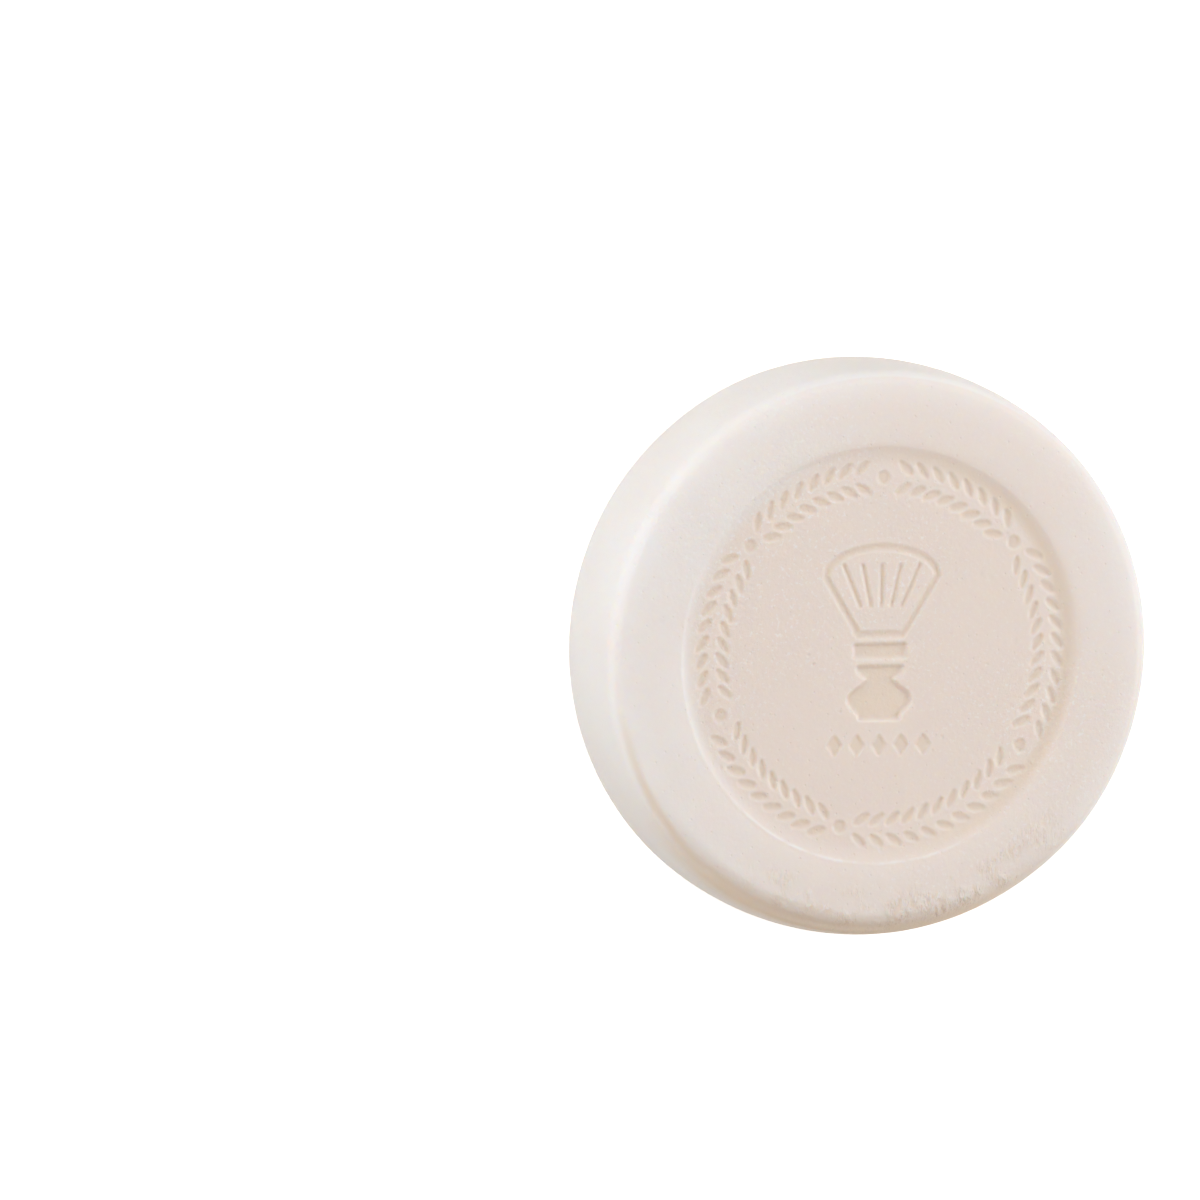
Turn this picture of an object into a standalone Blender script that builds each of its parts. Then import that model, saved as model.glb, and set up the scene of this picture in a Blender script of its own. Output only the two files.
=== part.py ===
"""Hard shaving soap puck: one pressed cake, lying on its back with the struck face up.

Metres, +Z out of the struck face, origin at the centre of the flat back.
"""
from math import asin, cos, pi, radians, sin, sqrt, tan

import bmesh
import bpy
from mathutils import Vector

# the cake
PUCK_RADIUS = 0.0320        # widest, half way up the barrelled wall
PUCK_HEIGHT = 0.0190
WALL_BULGE = 0.00105        # how far the wall swells between the two faces
BACK_ROUND = 0.0062         # radius of the edge round the back
FRONT_ROUND = 0.0021        # radius of the shoulder round the struck face

# the struck face
LAND_FLAT = 0.0018          # flat ring next to the recess
LAND_DOME = 0.0053          # ring outside it that falls away towards the front edge
LAND_DROP = 0.0003          # how far it has fallen where the front edge begins
LAND_SLOPE = radians(9)     # and how steeply it falls there
ARRIS_ROUND = 0.0005        # radius of the fine edge between the land and the shoulder
SHOULDER_SLOPE = radians(30)    # how steeply the shoulder starts
RECESS_DEPTH = 0.0007
RECESS_WALL = 0.0015        # how far the recess's hollow wall runs in while it drops
RECESS_HOLLOW = 2.2         # 1 is a straight slope; above it, the wall steepens towards the land
DEBOSS_DEPTH = 0.0003       # lines and leaves below the recess's floor
SOLID_DEPTH = 0.0006        # the badge's filled shapes below the recess's floor

# the laurel band round the recess's floor
BAND_MARGIN = 0.00035       # foot of the recess's wall to the band
BAND_HEIGHT = 0.0033
LEAF_LENGTH = 0.0021
LEAF_WIDTH = 0.00085
LEAF_SLANT = radians(38)    # leaf against the band's run
LEAF_GAP = 0.0004           # between one leaf and the next along the band
DOT_RADIUS = 0.00070
DOT_GAP = 0.0009            # from a dot's rim to the nearest leaf tip
DOT_ANGLES = (radians(38.5), radians(141.5), radians(257))

# the brush badge in the middle; its drawing is in shares of the plain field's radius
FIELD_MARGIN = 0.0050       # plain ring between the band and the badge's field
STROKE_WIDTH = 0.00070
BRISTLE_WIDTH = 0.00050
HEAD_TOP = 0.92
HEAD_SHOULDER = 0.66
HEAD_FOOT = 0.17
HEAD_HALF_TOP = 0.50
HEAD_HALF_FOOT = 0.20
BRISTLE_COUNT = 5
BRISTLE_FOOT = 0.42
BRISTLE_TOP = 0.76
BRISTLE_PITCH_FOOT = 0.095
BRISTLE_PITCH_TOP = 0.17
FERRULE_TOP = 0.09
FERRULE_FOOT = -0.03
FERRULE_HALF = 0.24
HANDLE_LEVELS = ((-0.56, 0.19), (-0.40, 0.29), (-0.20, 0.125), (-0.10, 0.21))   # height, half width
ROW_HEIGHT = -0.78          # middle of the row of lozenges
ROW_COUNT = 5
ROW_PITCH = 0.20
LOZENGE_HALF_WIDTH = 0.065
LOZENGE_HALF_HEIGHT = 0.085

# facets
ROUND_STEPS = 72
EDGE_STEPS = 5
WALL_STEPS = 6
DOME_STEPS = 5
ARRIS_STEPS = 2
LEAF_STEPS = 4
DOT_STEPS = 12
BADGE_STEPS = 4
MITER_LIMIT = 0.5           # keeps a stroke's outer corner from running far out at a sharp turn
CUTTER_RISE = 0.0005        # how far a cutter stands above the floor that it cuts

FRONT = PUCK_HEIGHT
FLOOR = PUCK_HEIGHT - RECESS_DEPTH


def barrel():
    """Radius of the wall's arc and the radius at which its centre lies, on the mid-height plane."""
    half = PUCK_HEIGHT / 2
    arc = (half * half + WALL_BULGE * WALL_BULGE) / (2 * WALL_BULGE)
    return arc, PUCK_RADIUS - arc


def edge_centre(edge_round, height):
    """Radius of the centre of an edge round, tangent to the wall's arc, whose centre is at that height."""
    arc, arc_centre = barrel()
    return arc_centre + sqrt((arc - edge_round) ** 2 - (height - PUCK_HEIGHT / 2) ** 2)


def edge_tangent(edge_round, height):
    """Angle above the horizontal at which that edge round meets the wall's arc."""
    arc, arc_centre = barrel()
    return asin((height - PUCK_HEIGHT / 2) / (arc - edge_round))


ARRIS_RUN = ARRIS_ROUND * (sin(SHOULDER_SLOPE) - sin(LAND_SLOPE))
ARRIS_FALL = ARRIS_ROUND * (cos(LAND_SLOPE) - cos(SHOULDER_SLOPE))
FRONT_CENTRE_HEIGHT = FRONT - LAND_DROP - ARRIS_FALL - FRONT_ROUND * cos(SHOULDER_SLOPE)
SHOULDER_RADIUS = edge_centre(FRONT_ROUND, FRONT_CENTRE_HEIGHT) + FRONT_ROUND * sin(SHOULDER_SLOPE)
LAND_RADIUS = SHOULDER_RADIUS - ARRIS_RUN
RIM_RADIUS = LAND_RADIUS - LAND_DOME - LAND_FLAT
FLOOR_RADIUS = RIM_RADIUS - RECESS_WALL
BAND_OUTER = FLOOR_RADIUS - BAND_MARGIN
BAND_INNER = BAND_OUTER - BAND_HEIGHT
BAND_MIDDLE = (BAND_OUTER + BAND_INNER) / 2
FIELD_RADIUS = BAND_INNER - FIELD_MARGIN


def shared(count, start, end):
    """count + 1 values from start to end."""
    return [start + (end - start) * step / count for step in range(count + 1)]


def half_profile():
    """(radius, height) from the rim of the flat back, up the wall, over the land, down to the recess."""
    arc, arc_centre = barrel()
    back_centre = edge_centre(BACK_ROUND, BACK_ROUND)
    front_centre = edge_centre(FRONT_ROUND, FRONT_CENTRE_HEIGHT)
    low = edge_tangent(BACK_ROUND, BACK_ROUND)
    high = edge_tangent(FRONT_ROUND, FRONT_CENTRE_HEIGHT)
    points = []
    for turn in shared(EDGE_STEPS, -pi / 2, low):
        points.append((back_centre + BACK_ROUND * cos(turn), BACK_ROUND + BACK_ROUND * sin(turn)))
    for turn in shared(WALL_STEPS, low, high)[1:-1]:
        points.append((arc_centre + arc * cos(turn), PUCK_HEIGHT / 2 + arc * sin(turn)))
    for turn in shared(EDGE_STEPS, high, pi / 2 - SHOULDER_SLOPE):
        height = FRONT_CENTRE_HEIGHT + FRONT_ROUND * sin(turn)
        points.append((front_centre + FRONT_ROUND * cos(turn), height))
    arris_centre = LAND_RADIUS - ARRIS_ROUND * sin(LAND_SLOPE)
    arris_height = FRONT - LAND_DROP - ARRIS_ROUND * cos(LAND_SLOPE)
    for turn in shared(ARRIS_STEPS, pi / 2 - SHOULDER_SLOPE, pi / 2 - LAND_SLOPE)[1:]:
        points.append((arris_centre + ARRIS_ROUND * cos(turn), arris_height + ARRIS_ROUND * sin(turn)))
    steepening = LAND_DOME * tan(LAND_SLOPE) / LAND_DROP
    for share in shared(DOME_STEPS, 1, 0)[1:]:
        drop = LAND_DROP * share ** steepening
        points.append((RIM_RADIUS + LAND_FLAT + LAND_DOME * share, FRONT - drop))
    for share in shared(WALL_STEPS, 0, 1):
        drop = RECESS_DEPTH * (1 - (1 - share) ** RECESS_HOLLOW)
        points.append((RIM_RADIUS - RECESS_WALL * share, FRONT - drop))
    return points


def turned(name, points):
    """A closed solid turned about Z from a half profile that starts and ends at a flat disc's rim."""
    shape = bmesh.new()
    rings = []
    for radius, height in points:
        turns = [2 * pi * step / ROUND_STEPS for step in range(ROUND_STEPS)]
        rings.append([shape.verts.new((radius * cos(a), radius * sin(a), height)) for a in turns])
    for lower, upper in zip(rings, rings[1:]):
        for step in range(ROUND_STEPS):
            ahead = (step + 1) % ROUND_STEPS
            shape.faces.new((lower[step], lower[ahead], upper[ahead], upper[step]))
    shape.faces.new(list(reversed(rings[0])))
    shape.faces.new(rings[-1])
    return finished(name, shape)


def finished(name, shape):
    """The bmesh as an object of its own, with its faces pointing out."""
    bmesh.ops.recalc_face_normals(shape, faces=shape.faces)
    mesh = bpy.data.meshes.new(name)
    shape.to_mesh(mesh)
    shape.free()
    obj = bpy.data.objects.new(name, mesh)
    bpy.context.scene.collection.objects.link(obj)
    return obj


def add_prism(shape, outline, depth=DEBOSS_DEPTH):
    """A straight-sided cutter from that depth to just above the floor."""
    low = [shape.verts.new((x, y, FLOOR - depth)) for x, y in outline]
    high = [shape.verts.new((x, y, FLOOR + CUTTER_RISE)) for x, y in outline]
    count = len(outline)
    shape.faces.new(list(reversed(low)))
    shape.faces.new(high)
    for step in range(count):
        ahead = (step + 1) % count
        shape.faces.new((low[step], low[ahead], high[ahead], high[step]))


def add_frame(shape, outline, width):
    """A cutter for a closed stroke of the given width, centred on the outline."""
    count = len(outline)
    rims = []
    for side in (-width / 2, width / 2):
        rim = []
        for step in range(count):
            before = Vector(outline[step - 1])
            here = Vector(outline[step])
            after = Vector(outline[(step + 1) % count])
            way_in = (here - before).normalized()
            way_out = (after - here).normalized()
            miter = Vector((way_in.y + way_out.y, -way_in.x - way_out.x)).normalized()
            stretch = 1 / max(MITER_LIMIT, miter.x * way_in.y - miter.y * way_in.x)
            rim.append(here + miter * side * stretch)
        rims.append(rim)
    levels = []
    for height in (FLOOR - DEBOSS_DEPTH, FLOOR + CUTTER_RISE):
        levels.append([[shape.verts.new((x, y, height)) for x, y in rim] for rim in rims])
    (low_in, low_out), (high_in, high_out) = levels
    for step in range(count):
        ahead = (step + 1) % count
        shape.faces.new((low_in[step], low_in[ahead], low_out[ahead], low_out[step]))
        shape.faces.new((high_in[step], high_out[step], high_out[ahead], high_in[ahead]))
        shape.faces.new((low_out[step], low_out[ahead], high_out[ahead], high_out[step]))
        shape.faces.new((low_in[step], high_in[step], high_in[ahead], low_in[ahead]))


def leaf(angle, run, side):
    """Outline of one leaf beside the band's middle line; run is the way it points, side is out or in."""
    root_gap = LEAF_GAP / 2 + LEAF_WIDTH / 2 * cos(LEAF_SLANT)
    out = Vector((cos(angle), sin(angle)))
    along = Vector((-sin(angle), cos(angle))) * run
    axis = along * cos(LEAF_SLANT) + out * side * sin(LEAF_SLANT)
    across = Vector((-axis.y, axis.x))
    middle = out * (BAND_MIDDLE + side * (root_gap + LEAF_LENGTH / 2 * sin(LEAF_SLANT)))
    points = []
    for way in (1, -1):
        for share in shared(LEAF_STEPS, 0, 1)[:-1]:
            half = LEAF_WIDTH / 2 * sin(pi * share)
            points.append(middle + axis * way * LEAF_LENGTH * (share - 0.5) + across * way * half)
    return [tuple(point) for point in points]


def disc(x, y, radius):
    turns = [2 * pi * step / DOT_STEPS for step in range(DOT_STEPS)]
    return [(x + radius * cos(a), y + radius * sin(a)) for a in turns]


def laurel_band():
    """Leaves in pairs between three dots, running from both dots to a berry half way."""
    shape = bmesh.new()
    pitch = (LEAF_WIDTH / sin(LEAF_SLANT) + LEAF_GAP) / BAND_MIDDLE
    clear = (DOT_RADIUS + DOT_GAP + LEAF_LENGTH / 2 * cos(LEAF_SLANT)) / BAND_MIDDLE
    angles = sorted(DOT_ANGLES)
    for start, end in zip(angles, angles[1:] + [angles[0] + 2 * pi]):
        add_prism(shape, disc(BAND_MIDDLE * cos(start), BAND_MIDDLE * sin(start), DOT_RADIUS))
        berry = (start + end) / 2
        add_prism(shape, disc(BAND_MIDDLE * cos(berry), BAND_MIDDLE * sin(berry), DOT_RADIUS))
        count = int((berry - start - 2 * clear) / pitch)
        for share in shared(count, start + clear, berry - clear):
            for side in (1, -1):
                add_prism(shape, leaf(share, 1, side))
                add_prism(shape, leaf(2 * berry - share, -1, side))
    return finished("laurel_cutter", shape)


def sized(points):
    """Points of the badge's drawing, in metres."""
    return [(x * FIELD_RADIUS, y * FIELD_RADIUS) for x, y in points]


def mirrored(right_side):
    """A closed outline from the points of its right side, bottom to top."""
    left_side = [(-x, y) for x, y in reversed(right_side) if x > 0]
    return sized(right_side + left_side)


def bar(foot, top, width):
    """Outline of a straight stroke between two points of the badge's drawing."""
    foot, top = [Vector(point) for point in sized([foot, top])]
    run = (top - foot).normalized()
    across = Vector((run.y, -run.x)) * width / 2
    return [tuple(point) for point in (foot + across, top + across, top - across, foot - across)]


def handle_side():
    """Points up the turned handle's right side, eased from one of its levels to the next."""
    points = [HANDLE_LEVELS[0][::-1]]
    for (low, low_half), (high, high_half) in zip(HANDLE_LEVELS, HANDLE_LEVELS[1:]):
        for share in shared(BADGE_STEPS, 0, 1)[1:]:
            half = low_half + (high_half - low_half) * (1 - cos(pi * share)) / 2
            points.append((half, low + (high - low) * share))
    return points


def brush_badge():
    """An upright brush: outlined head, bristles, ferrule, turned handle and a row of lozenges below."""
    shape = bmesh.new()
    head = [(HEAD_HALF_FOOT, HEAD_FOOT)]
    for turn in shared(2 * BADGE_STEPS, 0, pi / 2)[:-1]:
        head.append((HEAD_HALF_TOP * cos(turn), HEAD_SHOULDER + (HEAD_TOP - HEAD_SHOULDER) * sin(turn)))
    head.append((0, HEAD_TOP))
    add_frame(shape, mirrored(head), STROKE_WIDTH)
    for step in range(BRISTLE_COUNT):
        place = step - (BRISTLE_COUNT - 1) / 2
        foot = (place * BRISTLE_PITCH_FOOT, BRISTLE_FOOT)
        top = (place * BRISTLE_PITCH_TOP, BRISTLE_TOP)
        add_prism(shape, bar(foot, top, BRISTLE_WIDTH))
    add_prism(shape, mirrored([(FERRULE_HALF, FERRULE_FOOT), (FERRULE_HALF, FERRULE_TOP)]), SOLID_DEPTH)
    add_prism(shape, mirrored(handle_side()), SOLID_DEPTH)
    for place in range(ROW_COUNT):
        x = (place - (ROW_COUNT - 1) / 2) * ROW_PITCH
        corners = [(x + LOZENGE_HALF_WIDTH, ROW_HEIGHT), (x, ROW_HEIGHT + LOZENGE_HALF_HEIGHT)]
        corners += [(x - LOZENGE_HALF_WIDTH, ROW_HEIGHT), (x, ROW_HEIGHT - LOZENGE_HALF_HEIGHT)]
        add_prism(shape, sized(corners))
    return finished("badge_cutter", shape)


def soap():
    """Warm cream hard soap with a soft satin skin."""
    material = bpy.data.materials.new("cream_soap")
    material.use_nodes = True
    shader = material.node_tree.nodes["Principled BSDF"]
    shader.inputs["Base Color"].default_value = (0.79, 0.70, 0.61, 1)
    shader.inputs["Roughness"].default_value = 0.45
    shader.inputs["Metallic"].default_value = 0
    return material


def strike(cake, cutter):
    """Cut the cutter's shapes out of the cake; the cutter stays as a wire guide."""
    cutter.hide_render = True
    cutter.display_type = 'WIRE'
    cut = cake.modifiers.new(cutter.name, 'BOOLEAN')
    cut.operation = 'DIFFERENCE'
    cut.solver = 'EXACT'
    cut.object = cutter


def main():
    for old in list(bpy.data.objects):
        bpy.data.objects.remove(old)
    cake = turned("soap_puck", half_profile())
    cake.data.materials.append(soap())
    cake.data.shade_smooth()
    cake.data.set_sharp_from_angle(angle=radians(35))
    strike(cake, laurel_band())
    strike(cake, brush_badge())


main()
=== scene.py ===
import bmesh
import bpy
from math import asin, cos, pi, radians, sin, sqrt, tan
from mathutils import Matrix, Vector


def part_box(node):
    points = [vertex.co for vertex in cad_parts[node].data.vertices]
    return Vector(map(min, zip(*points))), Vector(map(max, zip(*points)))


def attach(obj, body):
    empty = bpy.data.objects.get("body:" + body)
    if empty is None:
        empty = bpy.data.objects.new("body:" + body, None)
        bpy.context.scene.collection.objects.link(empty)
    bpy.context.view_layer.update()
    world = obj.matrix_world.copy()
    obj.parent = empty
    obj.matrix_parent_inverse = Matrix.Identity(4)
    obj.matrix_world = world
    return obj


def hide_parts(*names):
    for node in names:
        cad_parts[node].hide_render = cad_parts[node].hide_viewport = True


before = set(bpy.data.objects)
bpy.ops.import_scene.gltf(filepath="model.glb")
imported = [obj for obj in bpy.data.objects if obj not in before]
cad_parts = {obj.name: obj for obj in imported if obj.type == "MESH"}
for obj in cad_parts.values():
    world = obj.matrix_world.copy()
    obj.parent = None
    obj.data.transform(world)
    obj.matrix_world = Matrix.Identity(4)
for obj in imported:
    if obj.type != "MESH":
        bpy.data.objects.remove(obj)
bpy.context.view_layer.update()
boxLow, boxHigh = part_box("soap_puck")
print("frame loaded")


# node trees written as sums

class Wire:  # an output socket; an operator on it adds a Math node
    def __init__(self, graph, socket):
        self.graph = graph
        self.socket = socket

    def out(self, name):  # another output of the same node
        return Wire(self.graph, pick(self.socket.node.outputs, name))

    def __add__(self, other):
        return self.graph.math("ADD", self, other)

    def __radd__(self, other):
        return self.graph.math("ADD", other, self)

    def __sub__(self, other):
        return self.graph.math("SUBTRACT", self, other)

    def __rsub__(self, other):
        return self.graph.math("SUBTRACT", other, self)

    def __mul__(self, other):
        return self.graph.math("MULTIPLY", self, other)

    def __rmul__(self, other):
        return self.graph.math("MULTIPLY", other, self)

    def __truediv__(self, other):
        return self.graph.math("DIVIDE", self, other)

    def __pow__(self, other):
        return self.graph.math("POWER", self, other)

    def __neg__(self):
        return self.graph.math("MULTIPLY", self, -1.0)


def pick(sockets, name):  # by place, or the first one in use that has the name
    if isinstance(name, int):
        return sockets[name]
    return next(socket for socket in sockets if socket.name == name and socket.enabled)


class Graph:  # a shader or geometry tree
    def __init__(self, tree):
        self.tree = tree
        tree.nodes.clear()

    def node(self, kind, settings=None, values=None, out=0):
        made = self.tree.nodes.new(kind)
        for name, value in (settings or {}).items():
            setattr(made, name, value)
        for name, value in (values or {}).items():
            self.feed(pick(made.inputs, name), value)
        return Wire(self, pick(made.outputs, out)) if len(made.outputs) else made

    def feed(self, socket, value):
        if isinstance(value, Wire):
            self.tree.links.new(value.socket, socket)
        else:
            socket.default_value = value

    def math(self, operation, *values):
        return self.node("ShaderNodeMath", {"operation": operation}, dict(enumerate(values)))

    def smooth(self, value, low, high, fromLevel=0.0, toLevel=1.0):  # an eased step
        levels = {"Value": value, "From Min": low, "From Max": high, "To Min": fromLevel, "To Max": toLevel}
        return self.node("ShaderNodeMapRange", {"interpolation_type": "SMOOTHSTEP"}, levels)

    def fall(self, value, low, high):  # an eased step down
        return self.smooth(value, low, high, 1.0, 0.0)

    def noise(self, where, pattern):  # a pattern is scale, detail, roughness and shift
        scale, detail, roughness, shift = pattern
        moved = self.node("ShaderNodeVectorMath", {"operation": "ADD"}, {0: where, 1: shift})
        return self.node("ShaderNodeTexNoise", {"noise_dimensions": "3D"},
                         {"Vector": moved, "Scale": scale, "Detail": detail, "Roughness": roughness})

    def waves(self, where, pattern):  # noise about 0, up to 1 either way
        return (self.noise(where, pattern) - 0.5) * 2.0

    def pits(self, where, scale, low, high):  # 1 in the middle of a few scattered small dimples
        cells = self.node("ShaderNodeTexVoronoi", {"feature": "F1"},
                          {"Vector": where, "Scale": scale, "Randomness": 1.0}, "Distance")
        return self.fall(cells, low, high)

    def random(self, least, most, item, seed):
        return self.node("FunctionNodeRandomValue", {"data_type": "FLOAT"},
                         {"Min": least, "Max": most, "ID": item, "Seed": seed}, "Value")

    def distance(self, shape, where):  # to the shape's nearest face
        return self.node("GeometryNodeProximity", {"target_element": "FACES"},
                         {"Geometry": shape, "Sample Position": where}, "Distance")

    def split(self, where):
        parts = self.node("ShaderNodeSeparateXYZ", None, {"Vector": where})
        return parts.out("X"), parts.out("Y"), parts.out("Z")

    def join(self, x, y, z):
        return self.node("ShaderNodeCombineXYZ", None, {"X": x, "Y": y, "Z": z})

    def together(self, shapes):  # several geometries as one
        made = self.node("GeometryNodeJoinGeometry")
        for shape in shapes:
            self.feed(made.socket.node.inputs[0], shape)
        return made


# the cake: a turned blank, from the middle of the struck face out, down the side and in over the back

cake = {
    "radius": (boxHigh.x - boxLow.x) / 2,
    "height": boxHigh.z - boxLow.z,
    "wallBulge": 0.00105,       # how far the side swells
    "backRound": 0.0062,
    "frontRound": 0.0021,
    "shoulderSlope": radians(30),   # where the front edge's round begins
    "arrisRound": 0.0014,       # handled edge between the land and the shoulder
    "landSlope": radians(9),    # where the land meets it
    "landDrop": 0.0003,
    "landDome": 0.0050,         # ring that falls away towards the front edge
    "landFlat": 0.0018,         # flat ring next to the recess
    "recessDepth": 0.0007,
    "recessWall": 0.0015,       # how far the recess's hollow wall runs in
    "recessFoot": 0.0007,       # the wall's soft foot runs this far over the floor
    "recessHollow": 2.5,        # 1 is a straight slope; above it, the wall steepens towards the land
    "landRoll": 0.00018,        # the land turns down a little towards the recess
    "landRollWidth": 0.0026,
    "rimWear": 0.00003,         # and its very edge is handled soft
    "rimWearWidth": 0.0006,
    "struckMargin": 0.0003,     # the fine mesh runs this far past the struck shapes
    "finePitch": 0.00015,       # mesh spacing where the die has struck
    "fieldPitch": 0.00017,
    "plainPitch": 0.00028,
    "roundPitch": 0.00060,
    "sidePitch": 0.00080,
    "backPitch": 0.00120,
    "fewestSteps": 6,           # points of the smallest ring of the mesh
    "mostSteps": 768,
}

barrelArc = ((cake["height"] / 2) ** 2 + cake["wallBulge"] ** 2) / (2 * cake["wallBulge"])
barrelCentre = cake["radius"] - barrelArc


def edgeCentre(edgeRound, height):  # radius of an edge round's centre, tangent to the barrelled side
    return barrelCentre + sqrt((barrelArc - edgeRound) ** 2 - (height - cake["height"] / 2) ** 2)


def edgeTangent(edgeRound, height):
    return asin((height - cake["height"] / 2) / (barrelArc - edgeRound))


arrisHeight = cake["height"] - cake["landDrop"] - cake["arrisRound"] * cos(cake["landSlope"])
frontHeight = arrisHeight - (cake["frontRound"] - cake["arrisRound"]) * cos(cake["shoulderSlope"])
frontCentre = edgeCentre(cake["frontRound"], frontHeight)
arrisCentre = frontCentre + (cake["frontRound"] - cake["arrisRound"]) * sin(cake["shoulderSlope"])
backCentre = edgeCentre(cake["backRound"], cake["backRound"])
landRadius = arrisCentre + cake["arrisRound"] * sin(cake["landSlope"])
rimRadius = landRadius - cake["landDome"] - cake["landFlat"]
floorRadius = rimRadius - cake["recessWall"]
floorHeight = cake["height"] - cake["recessDepth"]


def spaced(start, end, pitch):  # evenly from start to end, about a pitch apart
    count = max(1, round(abs(end - start) / pitch))
    return [start + (end - start) * step / count for step in range(count + 1)]


# the laurel band round the recess's floor

band = {
    "margin": 0.00035,          # foot of the recess's wall to the band
    "height": 0.0033,
    "leafLength": 0.0021,
    "leafWidth": 0.00085,
    "leafSlant": radians(38),
    "leafGap": 0.0004,
    "dotRadius": 0.00070,
    "dotGap": 0.0009,
    "dotAngles": (radians(38.5), radians(141.5), radians(257)),
    "dotPoints": 24,
    "leafPoints": 24,
    "leafFullness": 0.6,        # 0 is an oval; above it, the ends grow sharper
    "leafTaper": 0.18,          # narrower towards the tip
    "leafLean": 0.05,           # each leaf is turned a little, either way
    "leafSmallest": 0.93,
    "leafLargest": 1.05,
    "seed": 11,
    "sizeSeed": 7,              # added to it for the leaves' sizes
    "depth": 0.00016,
    "softEdge": 0.00044,        # how wide the walls of the ornament are
}
bandMiddle = floorRadius - band["margin"] - band["height"] / 2
bandInner = bandMiddle - band["height"] / 2
leafRoot = band["leafGap"] / 2 + band["leafWidth"] / 2 * cos(band["leafSlant"])
leafSpread = leafRoot + band["leafLength"] / 2 * sin(band["leafSlant"])

# the badge; its heights, halves and pitches are shares of its plain field's radius

badge = {
    "margin": 0.0050,           # plain ring between the band and the badge's field
    "strokeWidth": 0.00070,
    "bristleWidth": 0.00050,
    "headTop": 0.92,
    "headShoulder": 0.66,
    "headFoot": 0.17,
    "headHalfTop": 0.50,
    "headHalfFoot": 0.20,
    "bristleCount": 5,
    "bristleFoot": 0.42,
    "bristleTop": 0.76,
    "bristlePitchFoot": 0.095,
    "bristlePitchTop": 0.17,
    "ferruleTop": 0.09,
    "ferruleFoot": -0.03,
    "ferruleHalf": 0.24,
    "handleLevels": ((-0.56, 0.19), (-0.40, 0.29), (-0.20, 0.125), (-0.10, 0.21)),  # height, half width
    "rowHeight": -0.78,
    "rowCount": 5,
    "rowPitch": 0.20,
    "lozengeHalfWidth": 0.065,
    "lozengeHalfHeight": 0.085,
    "solidDepth": 0.00036,      # the ferrule and the handle
    "solidEdge": 0.00060,
    "steps": 12,                # points along a curved outline
    "leastMiter": 0.5,          # keeps the corners of the stroke from running out
}
fieldRadius = bandInner - badge["margin"]


def rollDrop(radius):  # how far the land has turned down there, near the recess
    roll = max(0.0, 1 - (radius - rimRadius) / cake["landRollWidth"])
    wear = max(0.0, 1 - (radius - rimRadius) / cake["rimWearWidth"])
    return cake["landRoll"] * roll ** 2 + cake["rimWear"] * wear ** 2


def recessRings():  # (radius, height, mesh pitch round the ring), from the middle of the face to the rim
    fine = cake["finePitch"]
    fieldEdge = fieldRadius + cake["struckMargin"]
    bandEdge = bandInner - cake["struckMargin"]
    footRadius = floorRadius - cake["recessFoot"]
    wallRun = rimRadius - footRadius
    wallRise = cake["recessDepth"] - rollDrop(rimRadius)
    rings = []
    for radius in spaced(cake["fieldPitch"], fieldEdge, cake["fieldPitch"]):
        rings.append((radius, floorHeight, cake["fieldPitch"]))
    for radius in spaced(fieldEdge, bandEdge, cake["plainPitch"])[1:]:
        rings.append((radius, floorHeight, cake["plainPitch"]))
    for radius in spaced(bandEdge, footRadius, fine)[1:]:
        rings.append((radius, floorHeight, fine))
    for share in spaced(0, 1, fine / wallRun)[1:]:
        height = floorHeight + wallRise * share ** cake["recessHollow"]
        rings.append((footRadius + wallRun * share, height, fine))
    return rings


def landRings():  # on from the rim to the front edge
    top = cake["height"]
    plain = cake["plainPitch"]
    wornRadius = rimRadius + cake["rimWearWidth"]
    domeRadius = rimRadius + cake["landFlat"]
    steepening = cake["landDome"] * tan(cake["landSlope"]) / cake["landDrop"]
    rings = []
    for radius in spaced(rimRadius, wornRadius, cake["finePitch"])[1:]:
        rings.append((radius, top - rollDrop(radius), cake["finePitch"]))
    for radius in spaced(wornRadius, domeRadius, plain)[1:]:
        rings.append((radius, top - rollDrop(radius), plain))
    for share in spaced(0, 1, plain / cake["landDome"])[1:]:
        radius = domeRadius + cake["landDome"] * share
        rings.append((radius, top - (cake["landDrop"] * share ** steepening + rollDrop(radius)), plain))
    return rings


def sideRings():  # on over the front edge, down the side and in over the back
    shoulder = pi / 2 - cake["shoulderSlope"]
    high = edgeTangent(cake["frontRound"], frontHeight)
    low = edgeTangent(cake["backRound"], cake["backRound"])
    rings = []
    for turn in spaced(pi / 2 - cake["landSlope"], shoulder, cake["finePitch"] / cake["arrisRound"])[1:]:
        radius = arrisCentre + cake["arrisRound"] * cos(turn)
        rings.append((radius, arrisHeight + cake["arrisRound"] * sin(turn), cake["plainPitch"]))
    for turn in spaced(shoulder, high, cake["plainPitch"] / cake["frontRound"])[1:]:
        radius = frontCentre + cake["frontRound"] * cos(turn)
        rings.append((radius, frontHeight + cake["frontRound"] * sin(turn), cake["roundPitch"]))
    for turn in spaced(high, low, cake["sidePitch"] / barrelArc)[1:]:
        radius = barrelCentre + barrelArc * cos(turn)
        rings.append((radius, cake["height"] / 2 + barrelArc * sin(turn), cake["backPitch"]))
    for turn in spaced(low, -pi / 2, cake["sidePitch"] / cake["backRound"])[1:]:
        radius = backCentre + cake["backRound"] * cos(turn)
        rings.append((radius, cake["backRound"] * (1 + sin(turn)), cake["backPitch"]))
    for radius in spaced(backCentre, cake["backPitch"], cake["backPitch"])[1:]:
        rings.append((radius, 0.0, cake["backPitch"]))
    return rings


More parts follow.
